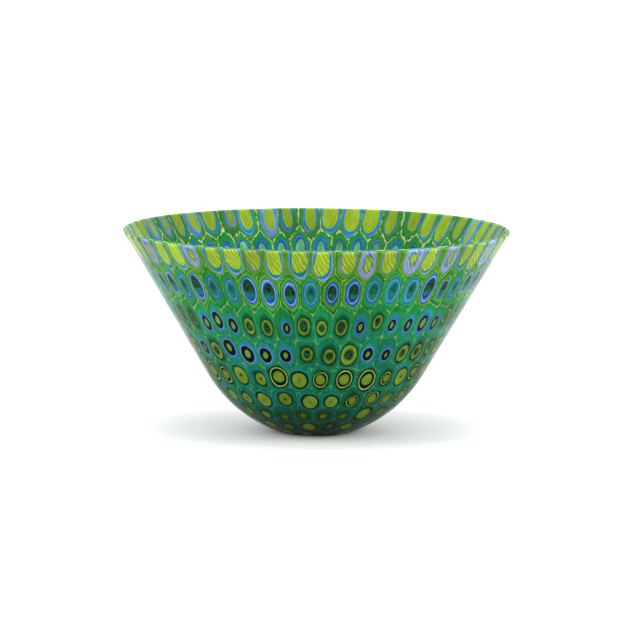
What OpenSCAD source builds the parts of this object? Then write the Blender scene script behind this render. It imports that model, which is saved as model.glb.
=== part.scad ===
// Art glass bowl in murrine (mosaic) technique: slices of bullseye cane, set in courses from the
// centre of the base to the lip and fused edge to edge. Every slice is modelled as nested solids:
// a core, a collar round it, and the jacket that meets the neighbouring slices.

/* [Bowl] */
// Outside diameter over the lip
rim_d = 260; // [230:5:290]
// Height from the resting face to the top of the lip
bowl_h = 137; // [127:1:147]
// Diameter of the ground flat that the bowl rests on
foot_d = 52; // [46:1:56]
// Slope of the wall just outside the foot, in degrees
foot_slope = 20.5; // [19.5:0.5:21.5]
// Slope of the straight wall, in degrees
wall_slope = 59.6; // [59.2:0.1:60]
// Slope of the wall at the lip, in degrees
lip_slope = 57.6; // [57:0.1:58.2]
// Length of the wall that flares out to the lip
flare_l = 26; // [22:1:30]

/* [Glass] */
// Wall thickness at the centre of the base
base_t = 5.4; // [4.8:0.1:6]
// Wall thickness at the lip
lip_t = 3; // [2.6:0.1:3.4]

/* [Murrine] */
// Gap left at each fused seam, between two slices or two layers of one slice
seam = 0.1; // [0.08:0.01:0.16]
// How far slices wander from an even setting, as a share of their pitch
wander = 0.12; // [0:0.01:0.14]
// Scale of all the bullseyes in their slices
eye_scale = 1; // [0.9:0.01:1.04]

/* [Hidden] */
$fn = 48;

// Courses from the base to the lip: [name, slices, distance of their centres from the centre of
// the base along the wall as a share of its whole length, height of a bullseye over its width,
// collar and core as shares of the largest bullseye that fits the slice].
COURSES = [
    ["base_inner",   8, 0.092, 1.10, 0.72, 0.50],
    ["base_outer",  15, 0.165, 1.15, 0.76, 0.56],
    ["foot",        20, 0.231, 1.20, 0.82, 0.58],
    ["belly_1",     25, 0.305, 1.25, 0.85, 0.52],
    ["belly_2",     28, 0.385, 1.30, 0.85, 0.48],
    ["belly_3",     33, 0.482, 1.35, 0.84, 0.46],
    ["wall_1",      40, 0.585, 1.50, 0.80, 0.44],
    ["wall_2",      50, 0.702, 1.80, 0.68, 0.46],
    ["wall_3",      52, 0.842, 2.15, 0.72, 0.48],
    ["rim",         52, 0.966, 2.00, 0.90, 0.70],
];
CENTRE_EYE = [0.78, 0.5];
LAYERS = ["jackets", "collars", "cores"];
LAST = len(COURSES) - 1;
// Distance of the centre murrina's corners from the middle, as a share of the first course's.
CENTRE_SHARE = 0.46;
// Edges shorter than this are cut halfway between the two centres instead of along the edge.
SHORT_EDGE = 1.5;
// Distance from the centre of the base within which seams go straight up through the glass.
UPRIGHT = 10;
// Every layer inside a jacket stands back this much from both faces of the wall.
SET_BACK = 0.1;
// Size of the blocks that slices are cut with; it only has to be larger than a slice.
REACH = 45;

// ---- The bowl's section: flat foot, shoulder arc, straight wall, flare to a round lip.
foot_r = foot_d / 2;
lip_in = lip_t / 2 * [1 - sin(lip_slope), 1 + cos(lip_slope)];
lip_end = [rim_d / 2, bowl_h] - lip_in;
flare_slope = (wall_slope + lip_slope) / 2;
rise = lip_end - [foot_r, 0] - flare_l * [cos(flare_slope), sin(flare_slope)];
turn = [sin(wall_slope) - sin(foot_slope), cos(foot_slope) - cos(wall_slope)];
shoulder_r = (rise.y * cos(wall_slope) - rise.x * sin(wall_slope))
    / (turn.y * cos(wall_slope) - turn.x * sin(wall_slope));
shoulder_l = shoulder_r * (wall_slope - foot_slope) * PI / 180;
straight_l = (rise.x - shoulder_r * turn.x) / cos(wall_slope);
s_shoulder = foot_r + shoulder_l;
s_flare = s_shoulder + straight_l;
s_lip = s_flare + flare_l;

function shoulder(slope) = [
    foot_r + shoulder_r * (sin(slope) - sin(foot_slope)),
    shoulder_r * (cos(foot_slope) - cos(slope))
];
function flare(s) = let (a = wall_slope + (lip_slope - wall_slope) * (s - s_flare) / (2 * flare_l))
    shoulder(wall_slope) + straight_l * [cos(wall_slope), sin(wall_slope)]
    + (s - s_flare) * [cos(a), sin(a)];
// Point [radius, height] on the outside, s along it from the centre of the base.
function outside(s) =
    s <= foot_r ? [s, 0]
    : s <= s_shoulder ? shoulder(foot_slope + (s - foot_r) / shoulder_r * 180 / PI)
    : s <= s_flare ? shoulder(wall_slope)
        + (s - s_shoulder) * [cos(wall_slope), sin(wall_slope)]
    : flare(s);
// Slope of the outside, and the lean of the seams through the glass: upright at the centre of the
// base, square to the wall outside the foot.
function slope(s) =
    s <= foot_r ? 0
    : s <= s_shoulder ? foot_slope + (s - foot_r) / shoulder_r * 180 / PI
    : wall_slope + (lip_slope - wall_slope) * max(0, s - s_flare) / flare_l;
function lean(s) =
    s < foot_r ? foot_slope * max(0, s - UPRIGHT) / (foot_r - UPRIGHT) : slope(s);
function square_to(angle) = [-sin(angle), cos(angle)];
function glass_t(s) = base_t + (lip_t - base_t) * s / s_lip;
function inside(s) = outside(s) + square_to(lean(s)) * glass_t(s);

// The whole glass wall with its round lip; every jacket is cut from it.
module wall() {
    up = concat([0, foot_r], [for (i = [1:6]) foot_r + shoulder_l * i / 6],
        [s_flare, s_flare + flare_l / 2, s_lip]);
    down = concat([s_lip, s_flare + flare_l / 2, s_flare], [for (i = [6:-1:1]) s_shoulder * i / 6]);
    rotate_extrude() {
        polygon(concat([for (s = up) outside(s)], [for (s = down) inside(s)], [[0, base_t]]));
        translate((outside(s_lip) + inside(s_lip)) / 2) circle(d = lip_t);
    }
}

// ---- Setting out. The wall is unrolled to [azimuth, tier], where slices are near hexagons.
function pitch(i) = 360 / COURSES[i][1];
function tier(i) = i == 0 ? 0 : tier(i - 1) + 0.433 * (pitch(i - 1) + pitch(i));
TIERS = [for (i = [0:LAST]) tier(i)];
top_tier = TIERS[LAST] + pitch(LAST);
base_tier = -CENTRE_SHARE * pitch(0);
course_s = [for (course = COURSES) course[2] * s_lip];
TIER_TO_S = concat(
    [[base_tier, course_s[0] * CENTRE_SHARE]],
    [for (i = [0:LAST]) [TIERS[i], course_s[i]]],
    [[top_tier, s_lip + flare_l / 2]]);
function s_at(v) = lookup(v.y, TIER_TO_S);

// Centres of the slices of one course, each a little off its even place. The rim is set half a
// pitch off the course below it.
function phase(i) = i == LAST ? phase(i - 1) + 0.5 : rands(0, 1, 1, 51 + i)[0];
function centres(i) = let (
        n = COURSES[i][1],
        dx = rands(-wander, wander, n, 11 + i),
        dy = rands(-wander, wander, n, 31 + i) * (i == 0 ? 0.4 : 1))
    [for (k = [0:n - 1]) [(k + phase(i) + dx[k]) * pitch(i), TIERS[i] + dy[k] * pitch(i)]];
CENTRES = [for (i = [0:LAST]) centres(i)];
function wrap(a) = a - 360 * round(a / 360);
// Centres near p in its own and the next two courses, brought to its side of the circle.
function near_centres(p, i) = [
    for (j = [max(0, i - 2):min(LAST, i + 2)]) for (q = CENTRES[j])
        let (d = [wrap(q.x - p.x), q.y - p.y])
        if (norm(d) > 0.001 && norm(d) < 2.6 * max(pitch(i), pitch(j))) p + d];

// Cells are polygons of [azimuth, tier, owner], the owner being the neighbour across the edge that
// starts there, or one of these for the centre murrina and the lip.
CENTRE_EDGE = -1;
LIP_EDGE = -2;
function flat(v) = [v.x, v.y];
// The part of a polygon that is nearer p than q.
function clip(poly, p, q, owner) = let (
        n = len(poly), mid = (p + q) / 2,
        side = [for (v = poly) (flat(v) - mid) * (q - p)])
    [for (k = [0:n - 1]) let (
            a = poly[k], b = poly[(k + 1) % n],
            side_a = side[k], side_b = side[(k + 1) % n],
            x = flat(a) + (flat(b) - flat(a)) * side_a / (side_a - side_b))
        each side_a <= 0
            ? (side_b <= 0 ? [a] : [a, [x.x, x.y, owner]])
            : (side_b <= 0 ? [[x.x, x.y, a.z]] : [])];
function cell(poly, p, near, k = 0) =
    k == len(near) ? poly : cell(clip(poly, p, near[k], k), p, near, k + 1);
function whole_field(p, i) = let (w = 2 * pitch(max(i - 1, 0))) [
    [p.x - w, base_tier, CENTRE_EDGE], [p.x + w, base_tier, CENTRE_EDGE],
    [p.x + w, top_tier, LIP_EDGE], [p.x - w, top_tier, LIP_EDGE]];

// ---- From the unrolled wall to space.
function unit(v) = v / norm(v);
function turned(a, rz) = [rz.x * cos(a), rz.x * sin(a), rz.y];
function on_wall(v) = turned(v.x, outside(s_at(v)));
function seam_way(v) = turned(v.x, square_to(lean(s_at(v))));
function round_wall(v) = [-sin(v.x), cos(v.x), 0];
function up_wall(v) = turned(v.x, [cos(slope(s_at(v))), sin(slope(s_at(v)))]);
function edge_end(poly, k) = flat(poly[(k + 1) % len(poly)]);
function is_long(poly, k) = norm(on_wall(edge_end(poly, k)) - on_wall(flat(poly[k]))) > SHORT_EDGE;

// Everything on the left of the cut from a to b, set back by half a seam.
module left_of(a, b) {
    start = on_wall(a);
    along = unit(on_wall(b) - start);
    away = unit(cross(along, seam_way((a + b) / 2)));
    down = cross(along, away);
    origin = start + away * seam / 2;
    multmatrix([for (i = [0:2]) [along[i], away[i], down[i], origin[i]]])
        translate([-REACH, 0, -REACH]) cube([2 * REACH, REACH, 2 * REACH]);
}

// The cut halfway between two centres, p on its left.
function halfway(p, q) = let (mid = (p + q) / 2, d = (q - p) / 20)
    [mid + [d.y, -d.x], mid + [-d.y, d.x]];
// Cuts that bound a slice: the long edges of its cell, and the halfway cuts to those slices that
// it shares a short edge with or all but meets at a corner.
function cuts(p, near, poly) = concat(
    [for (k = [0:len(poly) - 1])
        if (poly[k].z == CENTRE_EDGE || (poly[k].z >= 0 && is_long(poly, k)))
            [flat(poly[k]), edge_end(poly, k)]],
    [for (j = [0:len(near) - 1]) let (
            q = near[j],
            clear = min([for (v = poly) ((p + q) / 2 - flat(v)) * unit(q - p)]),
            shared = [for (k = [0:len(poly) - 1]) if (poly[k].z == j && is_long(poly, k)) k])
        if (len(shared) == 0 && clear < 0.06 * norm(q - p)) halfway(p, q)]);

// A slice's bullseye: [middle, half width and half height of the largest that fits, height at which
// the lip cuts it off, collar share, core share]. The rim's sit at their centres, where the lip
// cuts them.
function mean(poly) = [for (v = poly) 1] * [for (v = poly) flat(v)] / len(poly);
function bullseye(i, p, poly) = let (
        stretch = COURSES[i][3],
        mid = i == LAST ? p : mean(poly),
        place = [for (v = poly) let (d = on_wall(v) - on_wall(mid))
            [d * up_wall(mid), d * round_wall(mid)]],
        fit = min([for (k = [0:len(poly) - 1]) if (poly[k].z != LIP_EDGE) let (
                along = unit(place[(k + 1) % len(poly)] - place[k]),
                out = [-along.y, along.x])
            abs(place[k] * out) / norm([out.x * stretch, out.y])]))
    [mid, fit, fit * stretch, s_lip - s_at(mid), COURSES[i][4] * eye_scale, COURSES[i][5] * eye_scale];

module outline(eye, share, grow = 0) intersection() {
    scale([eye[2] * share + grow, eye[1] * share + grow]) circle(r = 1);
    translate([-REACH, -REACH]) square([REACH + eye[3] + grow, 2 * REACH]);
}
// Lays a shape on the wall at a bullseye, its x up the wall, and carries it through the glass. It
// lies on the chord of the wall's curve, so that its flat ends stay inside the glass.
module through_glass(eye, from, to) {
    s = s_at(eye[0]);
    reach = eye[2] * eye[4];
    low = turned(eye[0].x, outside(s - reach));
    high = turned(eye[0].x, outside(s + reach));
    up = unit(high - low);
    side = round_wall(eye[0]);
    deep = cross(up, side);
    middle = (low + high) / 2;
    multmatrix([for (i = [0:2]) [up[i], side[i], deep[i], middle[i]]])
        translate([0, 0, from]) linear_extrude(height = to - from) children();
}
module inner_layer(eye, layer)
    through_glass(eye, SET_BACK, glass_t(s_at(eye[0])) - SET_BACK) {
        if (layer == "cores") outline(eye, eye[5]);
        if (layer == "collars") difference() {
            outline(eye, eye[4]);
            outline(eye, eye[5], seam);
        }
    }

// ---- The pieces.
module slice(i, p, layer) {
    near = near_centres(p, i);
    poly = cell(whole_field(p, i), p, near);
    eye = bullseye(i, p, poly);
    if (layer == "jackets") difference() {
        intersection() {
            intersection_for(c = cuts(p, near, poly)) left_of(c[0], c[1]);
            wall();
        }
        through_glass(eye, -base_t, 2 * base_t) outline(eye, eye[4], seam);
    }
    else inner_layer(eye, layer);
}
module course(i, layer) for (p = CENTRES[i]) slice(i, p, layer);

// The murrina in the middle of the base, inside the first course.
centre_eye_r = course_s[0] * CENTRE_SHARE * cos(180 / COURSES[0][1]);
module centre_disc(share, grow = 0) circle(r = centre_eye_r * share * eye_scale + grow);
module centre_jacket() difference() {
    intersection() {
        intersection_for(p = CENTRES[0]) {
            poly = cell(whole_field(p, 0), p, near_centres(p, 0));
            k = [for (k = [0:len(poly) - 1]) if (poly[k].z == CENTRE_EDGE) k][0];
            left_of(edge_end(poly, k), flat(poly[k]));
        }
        wall();
    }
    translate([0, 0, -base_t]) linear_extrude(height = 3 * base_t) centre_disc(CENTRE_EYE[0], seam);
}
module centre_collar() translate([0, 0, SET_BACK])
    linear_extrude(height = base_t - 2 * SET_BACK) difference() {
        centre_disc(CENTRE_EYE[0]);
        centre_disc(CENTRE_EYE[1], seam);
    }
module centre_core() translate([0, 0, SET_BACK])
    linear_extrude(height = base_t - 2 * SET_BACK) centre_disc(CENTRE_EYE[1]);

// ---- What is drawn.
LAYER_COLORS = [
    ["jackets", [0.14, 0.5, 0.36]],
    ["collars", [0.36, 0.5, 0.8]],
    ["cores", [0.5, 0.56, 0.16]],
];
function layer_color(layer) = [for (c = LAYER_COLORS) if (c[0] == layer) c[1]][0];

color(layer_color("jackets")) centre_jacket();
color(layer_color("collars")) centre_collar();
color(layer_color("cores")) centre_core();
for (i = [0:LAST]) for (layer = LAYERS)
    color(layer_color(layer)) course(i, layer);
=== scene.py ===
"""Looks of a deep art glass bowl, blown from slices of murrine cane fused edge to edge."""

import logging
import math
from dataclasses import dataclass, field, replace
from enum import Enum
from functools import cached_property

import bpy
import numpy as np
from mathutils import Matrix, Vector


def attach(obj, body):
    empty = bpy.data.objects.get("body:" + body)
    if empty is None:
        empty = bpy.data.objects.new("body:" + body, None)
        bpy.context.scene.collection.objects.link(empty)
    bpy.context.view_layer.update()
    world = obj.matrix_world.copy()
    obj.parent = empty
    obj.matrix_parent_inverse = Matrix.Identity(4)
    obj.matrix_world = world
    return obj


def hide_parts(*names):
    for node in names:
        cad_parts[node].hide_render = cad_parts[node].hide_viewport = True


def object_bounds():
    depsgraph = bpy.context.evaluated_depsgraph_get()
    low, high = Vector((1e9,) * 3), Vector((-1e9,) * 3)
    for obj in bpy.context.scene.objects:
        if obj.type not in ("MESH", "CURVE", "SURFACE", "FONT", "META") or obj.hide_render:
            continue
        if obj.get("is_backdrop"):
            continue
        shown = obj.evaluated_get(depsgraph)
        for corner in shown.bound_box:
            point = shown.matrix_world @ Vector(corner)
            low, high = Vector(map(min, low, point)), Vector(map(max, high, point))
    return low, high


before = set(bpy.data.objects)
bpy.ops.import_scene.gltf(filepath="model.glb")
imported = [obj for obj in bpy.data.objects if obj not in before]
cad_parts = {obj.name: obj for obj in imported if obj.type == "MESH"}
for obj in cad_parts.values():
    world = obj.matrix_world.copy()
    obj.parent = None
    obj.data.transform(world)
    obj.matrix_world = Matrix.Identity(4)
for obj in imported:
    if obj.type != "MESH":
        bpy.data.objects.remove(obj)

LOG = logging.getLogger("murrine_bowl")
MM = 0.001
Color = tuple[float, float, float]
Socket = bpy.types.NodeSocket


class Side(Enum):
    """The two faces of the glass wall."""

    OUTER = 0
    INNER = 1


class Layer(Enum):
    """The layers of one slice, from its middle outwards."""

    CORE = "cores"
    COLLAR = "collars"
    JACKET = "jackets"


class Figure(Enum):
    """The fine figure inside a layer of glass, or painted light seen through it."""

    GRAIN = "grain"
    RIBS = "ribs"
    # Painted light: lighter ripples in the dark cores, standing for light seen through the clear core glass.
    CORDS = "cords"


def screen_color(red: int, green: int, blue: int) -> Color:
    """Turn a colour as seen on a screen into the linear one that shaders take.

    Args:
        red: Red from 0 to 255.
        green: Green from 0 to 255.
        blue: Blue from 0 to 255.

    Returns:
        The linear colour.
    """
    def linear(value: int) -> float:
        """Undo the screen's curve for one channel."""
        part = value / 255
        return part / 12.92 if part <= 0.04045 else ((part + 0.055) / 1.055) ** 2.4

    return (linear(red), linear(green), linear(blue))


def along(slope: np.ndarray | float) -> np.ndarray:
    """One metre up the wall where it has this slope, as radius and height."""
    return np.stack([np.cos(slope), np.sin(slope)], axis=-1)


def outward(slope: np.ndarray | float) -> np.ndarray:
    """One metre square to the wall, out of the bowl, as radius and height."""
    return np.stack([np.sin(slope), -np.cos(slope)], axis=-1)


@dataclass(frozen=True)
class BowlSection:
    """The bowl's section: ground flat, shoulder arc, straight wall, flare and round lip.

    Distances along the outside are measured from the centre of the base and called s. Past the
    end of the wall, s runs on over the lip to its crest.
    """

    lip_r: float
    height: float
    foot_r: float = 26 * MM
    foot_slope: float = math.radians(20.5)
    wall_slope: float = math.radians(59.6)
    lip_slope: float = math.radians(57.6)
    flare: float = 26 * MM
    base_t: float = 5.4 * MM
    lip_t: float = 3 * MM
    upright: float = 10 * MM

    @cached_property
    def flare_slope(self) -> float:
        """Mean slope of the flare."""
        return (self.wall_slope + self.lip_slope) / 2

    @cached_property
    def foot_edge(self) -> np.ndarray:
        """Edge of the ground flat."""
        return np.array([self.foot_r, 0.0])

    @cached_property
    def rise(self) -> np.ndarray:
        """Radius and height gained between the foot and the start of the flare."""
        half = self.lip_t / 2
        end = np.array([self.lip_r - half * (1 - math.sin(self.lip_slope)),
                        self.height - half * (1 + math.cos(self.lip_slope))])
        return end - self.foot_edge - self.flare * along(self.flare_slope)

    @cached_property
    def turn(self) -> np.ndarray:
        """Radius and height gained over a shoulder of one metre radius."""
        return outward(self.wall_slope) - outward(self.foot_slope)

    @cached_property
    def shoulder_r(self) -> float:
        """Radius of the shoulder arc that leads from the foot into the straight wall."""
        across = outward(self.wall_slope)
        return float((self.rise @ across) / (self.turn @ across))

    @cached_property
    def s_shoulder(self) -> float:
        """Where the shoulder ends and the straight wall starts."""
        return self.foot_r + self.shoulder_r * (self.wall_slope - self.foot_slope)

    @cached_property
    def s_flare(self) -> float:
        """Where the straight wall ends and the flare starts."""
        straight = self.rise - self.shoulder_r * self.turn
        return self.s_shoulder + float(straight @ along(self.wall_slope))

    @cached_property
    def s_lip(self) -> float:
        """Where the wall ends and the round lip starts."""
        return self.s_flare + self.flare

    @cached_property
    def s_crest(self) -> float:
        """The crest of the lip, where the outer and inner faces meet."""
        return self.s_lip + self.lip_t / 2 * math.pi / 2

    def shoulder(self, slope: np.ndarray | float) -> np.ndarray:
        """Point on the shoulder arc where the wall has a given slope.

        Args:
            slope: Slope of the wall in radians.

        Returns:
            Radius and height, stacked along the last axis.
        """
        return self.foot_edge + self.shoulder_r * (outward(slope) - outward(self.foot_slope))

    def outside(self, s: np.ndarray) -> np.ndarray:
        """Points on the outside of the wall.

        Args:
            s: Distances along the outside.

        Returns:
            Radius and height of each point.
        """
        s = np.asarray(s, float)
        flat = np.stack([s, np.zeros_like(s)], axis=-1)
        arc = self.shoulder(self.foot_slope + (s - self.foot_r) / self.shoulder_r)
        wall_start = self.shoulder(self.wall_slope)
        wall = wall_start + (s - self.s_shoulder)[..., None] * along(self.wall_slope)
        past = s - self.s_flare
        mean_slope = self.wall_slope + (self.lip_slope - self.wall_slope) * past / (2 * self.flare)
        flare = self.foot_edge + self.rise + past[..., None] * along(mean_slope)
        out = np.where((s > self.foot_r)[..., None], arc, flat)
        out = np.where((s > self.s_shoulder)[..., None], wall, out)
        return np.where((s > self.s_flare)[..., None], flare, out)

    def slope(self, s: np.ndarray) -> np.ndarray:
        """Slope of the outside.

        Args:
            s: Distances along the outside.

        Returns:
            The slopes in radians.
        """
        s = np.asarray(s, float)
        arc = self.foot_slope + (s - self.foot_r) / self.shoulder_r
        flare = self.wall_slope + (self.lip_slope - self.wall_slope) * (s - self.s_flare) / self.flare
        out = np.where(s > self.foot_r, arc, 0.0)
        out = np.where(s > self.s_shoulder, self.wall_slope, out)
        return np.where(s > self.s_flare, flare, out)

    def lean(self, s: np.ndarray) -> np.ndarray:
        """Lean of the seams through the glass.

        Args:
            s: Distances along the outside.

        Returns:
            The leans in radians from upright.
        """
        s = np.asarray(s, float)
        near = self.foot_slope * np.maximum(0, s - self.upright) / (self.foot_r - self.upright)
        return np.where(s < self.foot_r, near, self.slope(s))

    def thickness(self, s: np.ndarray) -> np.ndarray:
        """Thickness of the glass at each distance s."""
        return self.base_t + (self.lip_t - self.base_t) * np.asarray(s, float) / self.s_lip

    def face(self, s: np.ndarray, side: Side) -> tuple[np.ndarray, np.ndarray]:
        """Points and normals on one face of the wall, as radius and height.

        Args:
            s: Distances along the outside, up to the crest of the lip.
            side: Which face.

        Returns:
            The points, and the unit normals that point out of the glass.
        """
        s = np.asarray(s, float)
        on_wall = np.minimum(s, self.s_lip)
        slope, lean = self.slope(on_wall), self.lean(on_wall)
        point = self.outside(on_wall)
        if side is Side.OUTER:
            normal = outward(slope)
        else:
            normal = -outward(lean)
            point = point + normal * self.thickness(on_wall)[..., None]
        out, up = outward(self.lip_slope), along(self.lip_slope)
        middle = self.outside(np.array(self.s_lip)) - out * self.lip_t / 2
        turn = np.clip((s - self.s_lip) / (self.lip_t / 2), 0, math.pi / 2)
        sign = 1.0 if side is Side.OUTER else -1.0
        lip_normal = sign * out * np.cos(turn)[..., None] + up * np.sin(turn)[..., None]
        lip_point = middle + lip_normal * self.lip_t / 2
        over = (s > self.s_lip)[..., None]
        return np.where(over, lip_point, point), np.where(over, lip_normal, normal)

    def s_of(self, radius: np.ndarray, height: np.ndarray) -> np.ndarray:
        """Distance along the outside of the nearest point of the outside curve.

        Args:
            radius: Distances from the axis.
            height: Heights above the resting face.

        Returns:
            The distances s.
        """
        point = np.stack([radius, height], axis=-1)
        centre = self.foot_edge - self.shoulder_r * outward(self.foot_slope)
        angle = np.arctan2(radius - centre[0], centre[1] - height)
        arc = self.foot_r + (angle - self.foot_slope) * self.shoulder_r
        wall_start, flare_start = self.shoulder(self.wall_slope), self.foot_edge + self.rise
        wall = self.s_shoulder + (point - wall_start) @ along(self.wall_slope)
        flare = self.s_flare + (point - flare_start) @ along(self.flare_slope)
        out = np.where(angle > self.foot_slope, arc, np.minimum(radius, self.foot_r))
        out = np.where(angle > self.wall_slope, wall, out)
        return np.where(wall > self.s_flare, flare, out)


@dataclass(frozen=True)
class Chart:
    """The wall unrolled to a disc: a point lies at its distance s, in its own direction."""

    section: BowlSection
    at_centre: float = 0.1 * MM

    def to_disc(self, points: np.ndarray) -> tuple[np.ndarray, np.ndarray]:
        """Unroll points of the glass.

        Args:
            points: Points in space, one a row.

        Returns:
            Their places on the disc, and their depths below the outside.
        """
        radius = np.hypot(points[:, 0], points[:, 1])
        s = self.section.s_of(radius, points[:, 2])
        outer = self.section.outside(s)
        depth = np.hypot(outer[:, 0] - radius, outer[:, 1] - points[:, 2])
        way = points[:, :2] / np.maximum(radius, 1e-9)[:, None]
        return way * s[:, None], depth

    def to_space(self, disc: np.ndarray, side: Side) -> tuple[np.ndarray, np.ndarray]:
        """Lay points of the disc on one face of the wall.

        Args:
            disc: Places on the disc, one a row.
            side: Which face.

        Returns:
            The points in space and their unit normals.
        """
        s = np.hypot(disc[:, 0], disc[:, 1])
        way = disc / np.maximum(s, 1e-9)[:, None]
        point, normal = self.section.face(s, side)
        return (np.column_stack([way * point[:, :1], point[:, 1]]),
                np.column_stack([way * normal[:, :1], normal[:, 1]]))

    def local(self, centre: np.ndarray) -> np.ndarray:
        """Axes of true length at a place on the disc.

        Args:
            centre: A place on the disc.

        Returns:
            Two rows, the disc vectors of one metre round the wall and one metre up it.
        """
        s = float(np.hypot(*centre))
        if s < self.at_centre:
            return np.array([[-1.0, 0.0], [0.0, 1.0]])
        way = centre / s
        radius = float(self.section.outside(np.array(s))[0])
        return np.array([[-way[1] * s / radius, way[0] * s / radius], way])


@dataclass
class Slice:
    """One slice of cane: its cell on the disc and the bullseye in it."""

    cell: np.ndarray
    centre: np.ndarray
    collar: np.ndarray
    core: np.ndarray
    lot: np.ndarray


class NodeReader:
    """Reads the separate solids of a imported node."""

    SAME_POINT = 0.002 * MM

    @staticmethod
    def solids(name: str) -> list[np.ndarray]:
        """Points of each separate solid of a node.

        Args:
            name: The node.

        Returns:
            One array of points for each solid.
        """
        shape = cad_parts[name]
        mesh = shape.data
        points = np.empty(len(mesh.vertices) * 3)
        mesh.vertices.foreach_get("co", points)
        turn = np.array(shape.matrix_world)
        points = points.reshape(-1, 3) @ turn[:3, :3].T + turn[:3, 3]
        edges = np.empty(len(mesh.edges) * 2, dtype=np.int64)
        mesh.edges.foreach_get("vertices", edges)
        grid = np.round(points / NodeReader.SAME_POINT).astype(np.int64)
        keys, where = np.unique(grid, axis=0, return_inverse=True)
        where = where.reshape(-1)
        ends = where[edges].reshape(-1, 2)
        label = np.arange(len(keys))
        while True:
            low = np.minimum(label[ends[:, 0]], label[ends[:, 1]])
            new = label.copy()
            np.minimum.at(new, ends[:, 0], low)
            np.minimum.at(new, ends[:, 1], low)
            new = new[new]
            if np.array_equal(new, label):
                break
            label = new
        label = label[where]
        return [points[label == one] for one in np.unique(label)]


def hull(points: np.ndarray) -> np.ndarray:
    """Convex outline of flat points, anticlockwise.

    Args:
        points: Points, one a row.

    Returns:
        The corners of the outline.
    """
    order = sorted(map(tuple, np.unique(points, axis=0)))

    def half(run: list[tuple[float, float]]) -> list[tuple[float, float]]:
        """One side of the outline.

        Args:
            run: The points, in order from one end to the other.

        Returns:
            The corners of this side, without the last.
        """
        out: list[tuple[float, float]] = []
        for p in run:
            while len(out) > 1 and ((out[-1][0] - out[-2][0]) * (p[1] - out[-2][1])
                                    <= (out[-1][1] - out[-2][1]) * (p[0] - out[-2][0])):
                out.pop()
            out.append(p)
        return out[:-1]

    return np.array(half(order) + half(order[::-1]))


def corners(outline: np.ndarray, tolerance: float) -> np.ndarray:
    """Drop the points of an outline that are all but on a line with their neighbours.

    Args:
        outline: A convex outline.
        tolerance: How far off the line a corner has to be.

    Returns:
        The outline's true corners.
    """
    run = [np.array(p) for p in outline]
    while len(run) > 3:
        offs = []
        for k, p in enumerate(run):
            a, b = run[k - 1], run[(k + 1) % len(run)]
            way = (b - a) / max(np.linalg.norm(b - a), 1e-12)
            offs.append(abs(way[0] * (p - a)[1] - way[1] * (p - a)[0]))
        k = int(np.argmin(offs))
        if offs[k] > tolerance:
            break
        run.pop(k)
    return np.array(run)


@dataclass
class Course:
    """One course of slices, from reading its solids to dressing its pieces."""

    name: str
    stretch: float
    recipe: "CaneRecipe"
    slices: list[Slice] = field(default_factory=list)
    core_loops: tuple[float, ...] = (0.0, 0.55, 1.0)
    jacket_loops: tuple[float, ...] = (0.0, 0.25, 0.55, 0.82, 1.0)
    open_top: bool = False

    def node(self, layer: Layer) -> str:
        """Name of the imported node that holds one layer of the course."""
        return f"{self.name}_{layer.value}"


@dataclass
class CentreMurrina(Course):
    """The single slice in the middle of the base."""

    def node(self, layer: Layer) -> str:
        """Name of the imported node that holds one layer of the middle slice."""
        return f"{self.name}_{layer.value[:-1]}"


@dataclass
class RimCourse(Course):
    """The course that the lip cuts through; its layers run up over the lip."""

    core_loops: tuple[float, ...] = (0.0, 0.35, 0.65, 0.78, 0.86, 0.93, 1.0)
    jacket_loops: tuple[float, ...] = (0.0, 0.15, 0.35, 0.5, 0.62, 0.74, 0.85, 0.93, 1.0)
    open_top: bool = True


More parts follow.
